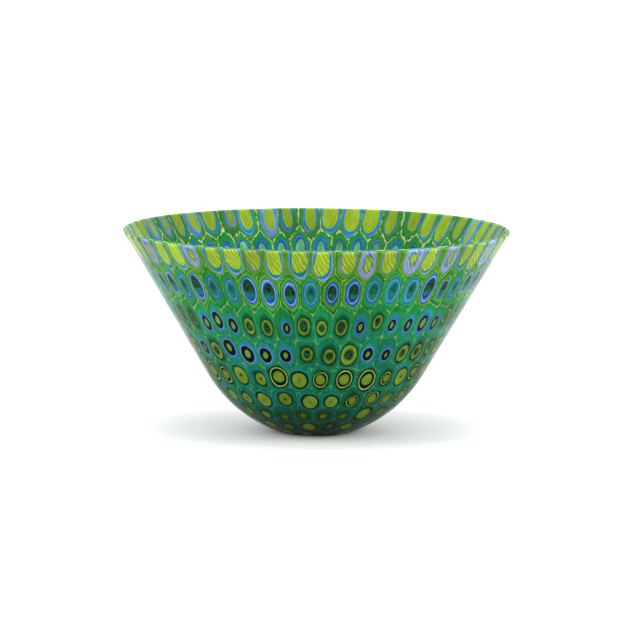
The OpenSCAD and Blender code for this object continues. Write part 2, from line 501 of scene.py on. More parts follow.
@dataclass
class SettingOut:
    """Finds every slice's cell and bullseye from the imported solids, and closes the seams."""

    chart: Chart
    seed: int = 12
    corner_tolerance: float = 0.22 * MM
    meet: float = 0.75 * MM
    outer_band: float = 0.2 * MM
    eye_band: float = 1.2 * MM
    lip_band: float = 0.8 * MM
    off_edge: float = 0.6 * MM
    off_corner: float = 0.3 * MM

    def read(self, courses: list[Course]) -> None:
        """Fill each course's list of slices.

        Args:
            courses: The courses, which are changed in place.
        """
        rng = np.random.default_rng(self.seed)
        for course in courses:
            collars = [self.bullseye(p, course) for p in NodeReader.solids(course.node(Layer.COLLAR))]
            cores = [self.bullseye(p, course) for p in NodeReader.solids(course.node(Layer.CORE))]
            for points in NodeReader.solids(course.node(Layer.JACKET)):
                cell = self.cell(points, isinstance(course, RimCourse))
                middle = cell.mean(axis=0)
                collar = min(collars, key=lambda eye: np.linalg.norm(eye[0] - middle))
                core = min(cores, key=lambda eye: np.linalg.norm(eye[0] - collar[0]))
                course.slices.append(Slice(cell, collar[0], collar[1], core[1], rng.random(3)))
        self.close_seams([one for course in courses for one in course.slices])

    def bullseye(self, points: np.ndarray, course: Course) -> tuple[np.ndarray, np.ndarray]:
        """Middle and half sizes of a core or collar.

        Args:
            points: The points of its solid.
            course: The course that it belongs to.

        Returns:
            Its middle on the disc, and its half width and half height.
        """
        disc, depth = self.chart.to_disc(points)
        disc = disc[depth < self.eye_band]
        middle = disc.mean(axis=0)
        axes = self.chart.local(middle)
        place = (disc - middle) @ np.linalg.inv(axes)
        low, high = place.min(axis=0), place.max(axis=0)
        half = (high - low) / 2
        centre = (high + low) / 2
        if isinstance(course, RimCourse):
            half[1] = half[0] * course.stretch
            centre[1] = low[1] + half[1]
        return middle + centre @ axes, half

    def cell(self, points: np.ndarray, at_lip: bool) -> np.ndarray:
        """Outline of a jacket on the disc.

        Args:
            points: The points of its solid.
            at_lip: Whether the lip cuts it.

        Returns:
            The corners, anticlockwise.
        """
        disc, depth = self.chart.to_disc(points)
        outline = corners(hull(disc[depth < self.outer_band]), self.corner_tolerance)
        if at_lip:
            s = np.hypot(outline[:, 0], outline[:, 1])
            top = s > self.chart.section.s_lip - self.lip_band
            outline[top] *= (self.chart.section.s_crest / s[top])[:, None]
            outline = corners(outline, self.corner_tolerance / 4)
        return outline

    def close_seams(self, slices: list[Slice]) -> None:
        """Make neighbouring cells share their corners, so that no gap is left between them.

        Args:
            slices: All the slices of the bowl, which are changed in place.
        """
        points = np.vstack([one.cell for one in slices])
        distance = np.linalg.norm(points[:, None, :] - points[None, :, :], axis=2)
        label = np.full(len(points), -1)
        for k in range(len(points)):
            if label[k] < 0:
                near = (distance[k] < self.meet) & (label < 0)
                label[near] = k
        shared = {k: points[label == k].mean(axis=0) for k in np.unique(label)}
        places = np.array(list(shared.values()))
        start = 0
        for one in slices:
            count = len(one.cell)
            keys = list(dict.fromkeys(label[start:start + count]))
            start += count
            one.cell = self.with_corners_on_edges(np.array([shared[k] for k in keys]), places)

    def with_corners_on_edges(self, cell: np.ndarray, places: np.ndarray) -> np.ndarray:
        """Add the shared corners that lie along a cell's edges.

        Args:
            cell: The corners of the cell.
            places: All the shared corners.

        Returns:
            The cell with the added corners.
        """
        out = []
        for k, a in enumerate(cell):
            b = cell[(k + 1) % len(cell)]
            length = np.linalg.norm(b - a)
            way = (b - a) / length
            run = (places - a) @ way
            off = np.abs((places - a) @ np.array([-way[1], way[0]]))
            on = (run > self.off_corner) & (run < length - self.off_corner) & (off < self.off_edge)
            out.append(a)
            out.extend(p for _, p in sorted(zip(run[on], places[on].tolist())))
        return np.array(out, dtype=float)


@dataclass
class GlassMesh:
    """Collects the closed shells of one piece, with what its finish reads at each point."""

    points: list[np.ndarray] = field(default_factory=list)
    normals: list[np.ndarray] = field(default_factory=list)
    eye: list[np.ndarray] = field(default_factory=list)
    ring: list[np.ndarray] = field(default_factory=list)
    lot: list[np.ndarray] = field(default_factory=list)
    faces: list[np.ndarray] = field(default_factory=list)
    count: int = 0

    def add(self, points: np.ndarray, normals: np.ndarray, eye: np.ndarray, ring: np.ndarray,
            lot: np.ndarray, faces: list[np.ndarray]) -> None:
        """Add one closed shell.

        Args:
            points: Its points.
            normals: Its shading normals.
            eye: Places in the bullseye, and which face of the glass, at each point.
            ring: Share of the way across the layer, closeness to a corner, and height up the
                wall, at each point.
            lot: The slice's own random numbers.
            faces: Faces, as rows of point numbers.
        """
        self.points.append(points)
        self.normals.append(normals)
        self.eye.append(eye)
        self.ring.append(ring)
        self.lot.append(np.tile(lot, (len(points), 1)))
        self.faces += [rows + self.count for rows in faces]
        self.count += len(points)

    def build(self, name: str) -> bpy.types.Object:
        """Make the piece.

        Args:
            name: The piece's name.

        Returns:
            The new object.
        """
        mesh = bpy.data.meshes.new(name)
        sizes = np.concatenate([np.full(len(rows), rows.shape[1]) for rows in self.faces])
        loops = np.concatenate([rows.reshape(-1) for rows in self.faces])
        mesh.vertices.add(self.count)
        mesh.vertices.foreach_set("co", np.vstack(self.points).reshape(-1))
        mesh.loops.add(len(loops))
        mesh.loops.foreach_set("vertex_index", loops.astype(np.int32))
        mesh.polygons.add(len(sizes))
        starts = np.concatenate([[0], np.cumsum(sizes)[:-1]])
        mesh.polygons.foreach_set("loop_start", starts.astype(np.int32))
        mesh.update(calc_edges=True)
        mesh.shade_smooth()
        for title, rows in (("eye", self.eye), ("ring", self.ring), ("lot", self.lot)):
            values = mesh.attributes.new(title, "FLOAT_VECTOR", "POINT")
            values.data.foreach_set("vector", np.vstack(rows).reshape(-1))
        mesh.normals_split_custom_set_from_vertices(np.vstack(self.normals).tolist())
        piece = bpy.data.objects.new(name, mesh)
        bpy.context.scene.collection.objects.link(piece)
        return piece


@dataclass(frozen=True)
class SliceShaper:
    """Shapes the closed shells of a slice's layers on both faces of the wall."""

    chart: Chart
    segments: int = 32
    layer_gap: float = 0.02 * MM
    seam_gap: float = 0.02 * MM
    least_band: float = 0.35 * MM
    ray_room: float = 0.4
    wobble: float = 0.04
    core_wobble: float = 2.4
    size_spread: float = 0.36
    usual_size: float = 0.6
    core_least: float = 0.86
    core_spread: float = 0.3
    off_centre: float = 0.10
    seam_depth: float = 0.10 * MM
    seam_tilt: float = 0.15
    layer_depth: float = 0.02 * MM
    layer_tilt: float = 0.02

    def outline(self, one: Slice) -> tuple[np.ndarray, np.ndarray, np.ndarray]:
        """Directions from a slice's middle, and how far each runs to the slice's edge.

        Args:
            one: The slice.

        Returns:
            Rays scaled to the collar's size, the edge's distance along each as a multiple of
            it, and 1 where a ray meets a corner.
        """
        place = (one.cell - one.centre) @ np.linalg.inv(self.chart.local(one.centre))
        turn = np.arctan2(place[:, 1] / one.collar[1], place[:, 0] / one.collar[0]) % (2 * math.pi)
        order = np.argsort(turn)
        turn, place = turn[order], place[order]
        step = 2 * math.pi / self.segments
        even = np.arange(self.segments) * step
        apart = np.abs((even[:, None] - turn[None, :] + math.pi) % (2 * math.pi) - math.pi).min(axis=1)
        even = even[apart > self.ray_room * step]
        angles = np.concatenate([even, turn])
        at_corner = np.concatenate([np.zeros(len(even)), np.ones(len(turn))])
        order = np.argsort(angles)
        angles, at_corner = angles[order], at_corner[order]
        rays = np.column_stack([np.cos(angles) * one.collar[0], np.sin(angles) * one.collar[1]])
        k = (np.searchsorted(turn, angles + 1e-9) - 1) % len(turn)
        start, way = place[k], place[(k + 1) % len(turn)] - place[k]
        reach = ((start[:, 0] * way[:, 1] - start[:, 1] * way[:, 0])
                 / (rays[:, 0] * way[:, 1] - rays[:, 1] * way[:, 0]))
        return rays, reach, at_corner

    def bands(self, one: Slice, course: Course, rays: np.ndarray,
              edge: np.ndarray) -> tuple[np.ndarray, np.ndarray]:
        """Where the core and the collar end along each ray.

        Args:
            one: The slice.
            course: Its course.
            rays: Rays from its middle.
            edge: Where each ray meets the slice's edge.

        Returns:
            The ends of the core and of the collar.
        """
        angles = np.arctan2(rays[:, 1] / one.collar[1], rays[:, 0] / one.collar[0])
        length = np.hypot(rays[:, 0], rays[:, 1])
        shift = one.lot * 2 * math.pi
        wave = self.wobble * (np.cos(2 * angles + shift[0]) + 0.7 * np.cos(3 * angles + shift[1]))
        off_centre = self.off_centre * np.cos(angles - shift[2])
        least = self.least_band / length
        full = (1 + self.size_spread * (one.lot[1] - self.usual_size)) * (1 + wave)
        if course.open_top:
            rise = np.clip(np.sin(angles), 0, 1)
            full = full * (1 - rise + rise / np.maximum(np.abs(np.cos(angles)), 0.05) ** 0.9)
        collar = np.minimum(full, edge - least)
        size = self.core_least + self.core_spread * one.lot[0]
        core = one.core[0] / one.collar[0] * (full * size - self.core_wobble * wave + off_centre)
        return np.minimum(core, collar - least), collar

    def shell(self, one: Slice, course: Course, layer: Layer, into: GlassMesh) -> None:
        """Add one layer of one slice to a piece.

        Args:
            one: The slice.
            course: Its course.
            layer: Which layer.
            into: The mesh to add it to.
        """
        rays, edge, at_corner = self.outline(one)
        core, collar = self.bands(one, course, rays, edge)
        length = np.hypot(rays[:, 0], rays[:, 1])
        gap = self.layer_gap / length
        if layer is Layer.CORE:
            loops, start, end = course.core_loops[1:], np.zeros_like(core), core - gap
        elif layer is Layer.COLLAR:
            loops, start, end = (0.0, 0.5, 1.0), core + gap, collar - gap
        else:
            loops, start, end = course.jacket_loops, collar + gap, edge - self.seam_gap / length
        count = len(rays)
        share = np.repeat(np.array(loops), count)
        reach = np.tile(start, len(loops)) * (1 - share) + np.tile(end, len(loops)) * share
        place = np.tile(rays, (len(loops), 1)) * reach[:, None]
        knot = np.tile(at_corner, len(loops)) * (share > 0.999) * (layer is Layer.JACKET)
        if layer is Layer.CORE:
            place, share, knot = np.vstack([[0, 0], place]), np.append(0.0, share), np.append(0.0, knot)
        depth, tilt = self.relief(layer, share)
        points, normals, eyes = [], [], []
        for side in Side:
            point, normal = self.laid(one, place, side, depth, tilt)
            points.append(point)
            normals.append(normal)
            eyes.append(np.column_stack([place / one.collar, np.full(len(place), float(side.value))]))
        disc = one.centre + place @ self.chart.local(one.centre)
        level = np.hypot(disc[:, 0], disc[:, 1]) / self.chart.section.s_crest
        ring = np.column_stack([share, knot, level])
        into.add(np.vstack(points), np.vstack(normals), np.vstack(eyes), np.vstack([ring, ring]),
                 one.lot, self.faces(layer, count, len(loops), len(place)))

    def relief(self, layer: Layer, share: np.ndarray) -> tuple[np.ndarray, np.ndarray]:
        """Relief of the fused surface across a layer.

        Args:
            layer: Which layer.
            share: Share of the way across it.

        Returns:
            Depth below the crown of the slice, and tilt of the surface towards the seam.
        """
        if layer is Layer.CORE:
            return self.layer_depth * share ** 4, self.layer_tilt * share
        if layer is Layer.COLLAR:
            return np.full_like(share, self.layer_depth), np.full_like(share, self.layer_tilt)
        into_seam = np.clip((share - 0.5) / 0.5, 0, 1)
        return self.layer_depth + self.seam_depth * into_seam ** 2, self.seam_tilt * into_seam ** 2

    def laid(self, one: Slice, place: np.ndarray, side: Side, depth: np.ndarray,
             tilt: np.ndarray) -> tuple[np.ndarray, np.ndarray]:
        """Lay points of a slice on one face of the wall.

        Args:
            one: The slice.
            place: Points in the slice's own measure.
            side: Which face of the wall.
            depth: How far each point is set into the glass.
            tilt: Tilt of the surface away from the slice's middle.

        Returns:
            The points in space and their normals.
        """
        axes = self.chart.local(one.centre)
        point, normal = self.chart.to_space(one.centre + place @ axes, side)
        middle, _ = self.chart.to_space(one.centre[None, :] + 1e-9, side)
        away = point - middle
        away -= normal * (away * normal).sum(axis=1, keepdims=True)
        away /= np.maximum(np.linalg.norm(away, axis=1, keepdims=True), 1e-6)
        turned = normal + away * tilt[:, None]
        return (point - normal * depth[:, None],
                turned / np.linalg.norm(turned, axis=1, keepdims=True))

    @staticmethod
    def faces(layer: Layer, count: int, loops: int, half: int) -> list[np.ndarray]:
        """Faces of a closed shell made of loops on the outer and inner faces of the wall.

        Args:
            layer: Which layer; a core is closed in the middle, the others have a hole.
            count: Points in a loop.
            loops: Loops on each face of the wall.
            half: Points on each face of the wall.

        Returns:
            Faces, as rows of point numbers.
        """
        first = 1 if layer is Layer.CORE else 0
        j = np.arange(count)
        n = (j + 1) % count
        out = []
        for i in range(loops - 1):
            a, b = first + i * count, first + (i + 1) * count
            quad = np.column_stack([a + j, b + j, b + n, a + n])
            out += [quad, quad[:, ::-1] + half]
        if layer is Layer.CORE:
            fan = np.column_stack([np.zeros(count, dtype=int), first + j, first + n])
            out += [fan, fan[:, ::-1] + half]
        else:
            out.append(np.column_stack([first + j, first + n, half + first + n, half + first + j]))
        rim = first + (loops - 1) * count
        out.append(np.column_stack([half + rim + j, half + rim + n, rim + n, rim + j]))
        return out


Stops = tuple[tuple[float, Color], ...]
Bands = tuple[tuple[float, Color, float], ...]


@dataclass(frozen=True)
class CaneRecipe:
    """The glass that one kind of cane is cased with, from its middle outwards.

    Each layer is a run of colours across it. The other core and the other collar are those of
    the odd slices, whose share is given. The halo lies over the casing glass, as strong as its
    third numbers say.
    """

    core: Stops
    core_other: Stops
    collar: Stops
    collar_other: Stops
    halo: Bands
    halo_other: Bands
    # seam_light and knot_light: strength of the painted light along the seams and of the painted glints in
    # the corners.
    seam_light: float
    knot_light: float
    # inside: the colours that the inner face is mixed towards, painted light shining through the wall higher
    # up and painted shade lower down.
    inside: tuple[Color, Color, Color]
    figure: Figure
    crescent: float = 0.0
    other_share: float = 0.3
    # tone: how light the course is painted overall; lower towards the base, which is painted shade.
    tone: float = 0.8


class GlassNodes:
    """Short names for the shader nodes that the glass is made with."""

    def __init__(self, title: str) -> None:
        """Start a material.

        Args:
            title: The material's name.
        """
        self.material = bpy.data.materials.new(title)
        self.material.use_nodes = True
        self.tree = self.material.node_tree
        self.tree.nodes.clear()

    def node(self, kind: str, **settings: object) -> bpy.types.Node:
        """Add a node.

        Args:
            kind: The node's type.
            settings: Properties to set on it.

        Returns:
            The node.
        """
        made = self.tree.nodes.new(kind)
        for key, value in settings.items():
            setattr(made, key, value)
        return made

    def feed(self, socket: Socket, value: object) -> None:
        """Link a socket, or set its value.

        Args:
            socket: The input.
            value: An output to link, or a number, vector or colour.
        """
        if isinstance(value, Socket):
            self.tree.links.new(value, socket)
        elif isinstance(value, tuple) and len(value) == 3 and socket.type == "RGBA":
            socket.default_value = (*value, 1.0)
        else:
            socket.default_value = value

    def attribute(self, title: str) -> Socket:
        """A vector stored on the mesh."""
        return self.node("ShaderNodeAttribute", attribute_name=title).outputs["Vector"]

    def parts(self, vector: Socket) -> list[Socket]:
        """Split a vector.

        Args:
            vector: The vector.

        Returns:
            Its three parts.
        """
        split = self.node("ShaderNodeSeparateXYZ")
        self.feed(split.inputs[0], vector)
        return list(split.outputs)

    def math(self, operation: str, a: object, b: object, kind: str = "ShaderNodeMath") -> Socket:
        """A sum on two numbers or vectors.

        Args:
            operation: The operation.
            a: First value.
            b: Second value.
            kind: The node's type, for numbers or for vectors.

        Returns:
            The result.
        """
        made = self.node(kind, operation=operation)
        self.feed(made.inputs[0], a)
        self.feed(made.inputs[1], b)
        return made.outputs[0]

    def vector_math(self, operation: str, a: object, b: object) -> Socket:
        """A sum on two vectors."""
        return self.math(operation, a, b, "ShaderNodeVectorMath")

    def plus(self, a: object, b: object) -> Socket:
        """One number added to another."""
        return self.math("ADD", a, b)

    def minus(self, a: object, b: object) -> Socket:
        """One number less another."""
        return self.math("SUBTRACT", a, b)

    def times(self, a: object, b: object) -> Socket:
        """One number times another."""
        return self.math("MULTIPLY", a, b)

    def scaled(self, color: Socket, factor: Socket) -> Socket:
        """Make a colour lighter or darker.

        Args:
            color: The colour.
            factor: What to multiply it by.

        Returns:
            The new colour.
        """
        grey = self.node("ShaderNodeCombineXYZ")
        for socket in grey.inputs:
            self.feed(socket, factor)
        return self.vector_math("MULTIPLY", color, grey.outputs[0])

    def mix(self, share: object, a: object, b: object) -> Socket:
        """Mix two colours.

        Args:
            share: Share of the second.
            a: First colour.
            b: Second colour.

        Returns:
            The mixed colour.
        """
        made = self.node("ShaderNodeMix", data_type="RGBA")
        for socket, value in ((0, share), (6, a), (7, b)):
            self.feed(made.inputs[socket], value)
        return made.outputs[2]

    def ramp(self, share: Socket, stops: Stops) -> Socket:
        """Colours across a layer."""
        return self.bands(share, tuple((*stop, 1.0) for stop in stops))[0]

    def bands(self, share: Socket, bands: Bands) -> list[Socket]:
        """Colours across a layer, with how strong they are.

        Args:
            share: Share of the way across.
            bands: The colours, where they stand and how strong they are.

        Returns:
            The colour and its strength.
        """
        made = self.node("ShaderNodeValToRGB")
        elements = made.color_ramp.elements
        for element, (position, color, strength) in zip(elements, (bands[0], bands[-1])):
            element.position, element.color = position, (*color, strength)
        for position, color, strength in bands[1:-1]:
            elements.new(position).color = (*color, strength)
        self.feed(made.inputs[0], share)
        return list(made.outputs)

    def noise(self, vector: Socket, scale: float, detail: float = 2.0,
              distortion: float = 0.0) -> Socket:
        """Smooth noise.

        Args:
            vector: Where to read it.
            scale: Its fineness.
            detail: Its finer layers.
            distortion: How much it swirls.

        Returns:
            The noise, about 0.5 on average.
        """
        made = self.node("ShaderNodeTexNoise", noise_dimensions="3D")
        self.feed(made.inputs["Vector"], vector)
        self.set_values(made, Scale=scale, Detail=detail, Distortion=distortion)
        return made.outputs[0]

    @staticmethod
    def set_values(node: bpy.types.Node, **values: float) -> None:
        """Set a node's inputs by name, with _ for a space."""
        for title, value in values.items():
            node.inputs[title.replace("_", " ")].default_value = value

    def remap(self, value: Socket, low: float, high: float, to_low: float = 0.0,
              to_high: float = 1.0) -> Socket:
        """Stretch a range of numbers onto another, and clamp it there.

        Args:
            value: The number.
            low: Start of its range.
            high: End of its range.
            to_low: What the start becomes.
            to_high: What the end becomes.

        Returns:
            The stretched number.
        """
        made = self.node("ShaderNodeMapRange", clamp=True)
        self.feed(made.inputs[0], value)
        for socket, number in zip(made.inputs[1:5], (low, high, to_low, to_high)):
            socket.default_value = number
        return made.outputs[0]


class Palette:
    """The colours of the glass, in a maker's plain words."""

    BLACK = screen_color(3, 12, 8)
    BOTTLE = screen_color(10, 66, 34)
    OLIVE = screen_color(112, 140, 44)
    OLIVE_DARK = screen_color(84, 108, 20)
    OLIVE_LIGHT = screen_color(150, 174, 84)
    CHARTREUSE = screen_color(152, 186, 46)
    RIB = screen_color(206, 212, 92)
    FURROW = screen_color(128, 152, 20)
    MOSS = screen_color(98, 156, 36)
    FERN = screen_color(60, 150, 84)
    SEA = screen_color(26, 142, 96)
    LAGOON = screen_color(34, 132, 158)
    PETROL = screen_color(16, 84, 124)
    COBALT = screen_color(24, 92, 176)
    AZURE = screen_color(40, 138, 220)
    LAVENDER = screen_color(146, 156, 198)
    # LIME and CREAM are painted light in the seams and corners, seen from outside and from inside.
    LIME = screen_color(190, 218, 108)
    CREAM = screen_color(232, 240, 200)
    # MINT is painted light: a dark core lit through from behind, as seen on the inner face.
    MINT = screen_color(122, 216, 146)
    LEAF = screen_color(36, 150, 50)
    SHADE = screen_color(8, 84, 34)
    # CASING runs from the base to the lip: teal turning green, the glass's own change, and darker towards
    # the base, which is in part painted shade.
    CASING = (
        (0.00, screen_color(4, 40, 22)),
        (0.20, screen_color(8, 78, 46)),
        (0.32, screen_color(12, 98, 64)),
        (0.46, screen_color(18, 118, 80)),
        (0.60, screen_color(22, 130, 82)),
        (0.74, screen_color(26, 140, 64)),
        (0.86, screen_color(26, 144, 46)),
        (1.00, screen_color(52, 156, 38)),
    )


@dataclass(frozen=True)
class Spot:
    """What a finish reads at a point of the glass."""

    place: Socket    # where the point is in its slice, far from every other slice
    share: Socket    # share of the way across its layer
    across: Socket   # the same with the unevenness of drawn cane
    knot: Socket     # closeness to a corner where three slices meet
    level: Socket    # how far up the wall it is
    up: Socket       # height above the middle of its slice
    inner: Socket    # 1 on the inside of the wall
    odd: Socket      # 1 in the odd slices
    tone: Socket     # how light its slice is, from 0 to 1


@dataclass(frozen=True)
class GlassFinish:
    """The finish of one layer of one course."""

    recipe: CaneRecipe
    layer: Layer
    see_through: float = 0.18
    gloss: float = 0.035
    ring_wander: float = 0.22
    ring_shift: float = 0.26
    tone_spread: float = 0.26
    # lip_starts, lip_full and the gain set a painted highlight along the crest of the lip.
    lip_starts: float = 0.984
    lip_full: float = 0.994
    lip_highlight_gain: float = 1.5
    slices_apart: tuple[float, float, float] = (31.0, 17.0, 23.0)

    def material(self, title: str) -> bpy.types.Material:
        """Make the material.

        Args:
            title: Its name.

        Returns:
            The material.
        """
        g = GlassNodes(title)
        spot = self.spot(g)
        color = self.layered(g, spot)
        # The slice's random tone about its course's tone; the course tone is painted shade, darker towards
        # the base.
        tone = g.plus(g.times(spot.tone, self.tone_spread), self.recipe.tone - self.tone_spread / 2)
        cloud = g.remap(g.noise(spot.place, 0.9, 3.0), 0.3, 0.7, 0.84, 1.14)
        # Painted highlight: brighter along the crest of the lip.
        lip = g.remap(spot.level, self.lip_starts, self.lip_full, 1.0, self.lip_highlight_gain)
        self.glass(g, g.scaled(color, g.times(g.times(tone, lip), cloud)), spot.place)
        return g.material

    def spot(self, g: GlassNodes) -> Spot:
        """Read what is stored on the mesh.

        Args:
            g: The material's nodes.

        Returns:
            What the finish reads.
        """
        eye, lot = g.attribute("eye"), g.attribute("lot")
        share, knot, level = g.parts(g.attribute("ring"))
        kind, tone, slip = g.parts(lot)
        _, up, inner = g.parts(eye)
        apart = g.vector_math("MULTIPLY", lot, self.slices_apart)
        place = g.vector_math("ADD", eye, apart)
        wander = g.times(g.minus(g.noise(place, 1.5), 0.5), self.ring_wander)
        shift = g.times(g.minus(slip, 0.5), self.ring_shift)
        across = g.plus(g.plus(share, wander), shift)
        odd = g.math("LESS_THAN", kind, self.recipe.other_share)
        return Spot(place, share, across, knot, level, up, inner, odd, tone)

    def layered(self, g: GlassNodes, spot: Spot) -> Socket:
        """Draw the layer, as it shows on the outside and on the inside of the wall, where painted light and
        shade are mixed in.

        Args:
            g: The material's nodes.
            spot: What the finish reads.

        Returns:
            The layer's colour.
        """
        cane = self.recipe
        if self.layer is Layer.CORE:
            rings = g.mix(spot.odd, g.ramp(spot.across, cane.core), g.ramp(spot.across, cane.core_other))
            color = self.figured(g, rings, spot)
        elif self.layer is Layer.COLLAR:
            rings = g.mix(spot.odd, g.ramp(spot.across, cane.collar), g.ramp(spot.across, cane.collar_other))
            color = g.scaled(rings, g.remap(g.noise(spot.place, 5.0, 3.0, 0.8), 0.35, 0.65, 0.86, 1.12))
        else:
            color = self.cased(g, spot)
        # On the inner face, mix towards painted light shining through the wall, or painted shade lower down.
        inside_light_and_shade = g.times(spot.inner, g.remap(g.noise(spot.place, 1.1), 0.35, 0.65, 0.45, 0.85))
        color = g.mix(inside_light_and_shade, color, cane.inside[list(Layer).index(self.layer)])
        return self.seamed(g, color, spot) if self.layer is Layer.JACKET else color

    def figured(self, g: GlassNodes, color: Socket, spot: Spot) -> Socket:
        """Draw the core's figure, or the painted light seen through a clear core.

        Args:
            g: The material's nodes.
            color: The core's colour.
            spot: What the finish reads.

        Returns:
            The figured colour.
        """
        if self.recipe.figure is Figure.RIBS:
            ribs = g.node("ShaderNodeTexWave", wave_type="BANDS", bands_direction="DIAGONAL")
            g.feed(ribs.inputs["Vector"], spot.place)
            g.set_values(ribs, Scale=1.3, Distortion=7.0, Detail=3.0, Detail_Scale=0.8)
            fac = ribs.outputs["Fac"]
            broad = g.remap(g.noise(spot.place, 1.6, 3.0), 0.38, 0.62, 0.15, 0.8)
            lit = g.mix(g.times(g.remap(fac, 0.6, 0.95), broad), color, Palette.RIB)
            return g.mix(g.times(g.remap(fac, 0.4, 0.1), broad), lit, Palette.FURROW)
        if self.recipe.figure is Figure.CORDS:
            # Painted light: lighter ripples in the dark core, standing for light seen through the clear
            # glass.
            cords = g.remap(g.noise(spot.place, 2.6, 3.0, 2.2), 0.46, 0.58)
            faded = g.times(cords, g.remap(spot.share, 0.2, 0.95, 0.55, 0.1))
            with_through_light = g.mix(faded, color, Palette.FERN)
            crescent = g.mix(g.remap(spot.up, -0.2, -0.6), Palette.SEA, Palette.COBALT)
            low = g.times(g.remap(spot.up, 0.0, -0.45), self.recipe.crescent)
            return g.mix(low, with_through_light, crescent)
        grain = g.remap(g.noise(spot.place, 14.0, 4.0), 0.35, 0.65, 0.0, 0.45)
        return g.mix(grain, color, Palette.OLIVE_DARK)

    def cased(self, g: GlassNodes, spot: Spot) -> Socket:
        """Draw the casing glass with its streaks, and the halo round the collar.

        Args:
            g: The material's nodes.
            spot: What the finish reads.

        Returns:
            The casing's colour.
        """
        drift = g.times(g.minus(g.noise(spot.place, 0.6), 0.5), 0.30)
        # The casing by height up the wall, darker towards the base in part as painted shade.
        casing = g.ramp(g.plus(spot.level, drift), Palette.CASING)
        streak = g.noise(g.vector_math("MULTIPLY", spot.place, (3.4, 0.9, 1.0)), 1.4, 4.0, 1.2)
        less_above = g.remap(spot.level, 0.62, 0.85, 1.0, 0.3)
        blue = g.times(g.remap(streak, 0.52, 0.72, 0.0, 0.55), less_above)
        casing = g.scaled(g.mix(blue, casing, Palette.LAGOON), g.remap(streak, 0.32, 0.5, 0.52, 1.0))
        usual = g.minus(1.0, spot.odd)
        for bands, on in ((self.recipe.halo, usual), (self.recipe.halo_other, spot.odd)):
            color, strength = g.bands(spot.across, bands)
            casing = g.mix(g.times(strength, on), casing, color)
        return casing

    def seamed(self, g: GlassNodes, color: Socket, spot: Spot) -> Socket:
        """Draw painted light along the seams and painted glints in the corners where three slices meet.

        Args:
            g: The material's nodes.
            color: The casing's colour.
            spot: What the finish reads.

        Returns:
            The colour with its seams.
        """
        # Painted light along the seams: light through the pale seam glass, in part its own pale colour;
        # painted glints in the corners.
        ragged = g.times(g.times(spot.inner, g.noise(spot.place, 1.8, 3.0)), 0.22)
        line = g.remap(g.plus(spot.share, ragged), 0.84, 0.98)
        broken = g.remap(g.noise(spot.place, 2.4), 0.44, 0.62)
        seam = g.times(g.times(line, broken), self.recipe.seam_light)
        off_line = g.math("ABSOLUTE", g.minus(spot.share, 0.80), 0.0)
        dark = g.remap(off_line, 0.03, 0.10, 1 - 0.6 * self.recipe.seam_light)
        glint_specks = g.remap(g.noise(spot.place, 7.0), 0.45, 0.6, 0.3)
        corner = g.times(g.times(g.math("POWER", spot.knot, 1.3), glint_specks), self.recipe.knot_light)
        # Painted light: lime seen from outside, cream on the inner face.
        light = g.mix(spot.inner, Palette.LIME, Palette.CREAM)
        return g.mix(g.math("MAXIMUM", seam, corner), g.scaled(color, dark), light)

    def glass(self, g: GlassNodes, color: Socket, place: Socket) -> None:
        """Finish with polished, slightly see-through glass.

        Args:
            g: The material's nodes.
            color: The glass's colour.
            place: Where the point is in its slice.
        """
        bump = g.node("ShaderNodeBump")
        g.set_values(bump, Strength=0.10, Distance=0.4 * MM)
        g.feed(bump.inputs["Height"], g.noise(g.vector_math("MULTIPLY", place, (2.2, 0.9, 1.0)), 2.0, 3.0))
        body = g.node("ShaderNodeBsdfPrincipled")
        g.set_values(body, IOR=1.5, Specular_IOR_Level=self.gloss)
        g.feed(body.inputs["Base Color"], color)
        g.feed(body.inputs["Roughness"], g.remap(g.noise(place, 4.0, 3.0), 0.3, 0.7, 0.07, 0.16))
        g.feed(body.inputs["Normal"], bump.outputs[0])
        through = g.node("ShaderNodeBsdfTranslucent")
        g.feed(through.inputs["Color"], color)
        both = g.node("ShaderNodeMixShader")
        for socket, value in ((0, self.see_through), (1, body.outputs[0]), (2, through.outputs[0])):
            g.feed(both.inputs[socket], value)
        g.feed(g.node("ShaderNodeOutputMaterial").inputs[0], both.outputs[0])


P = Palette


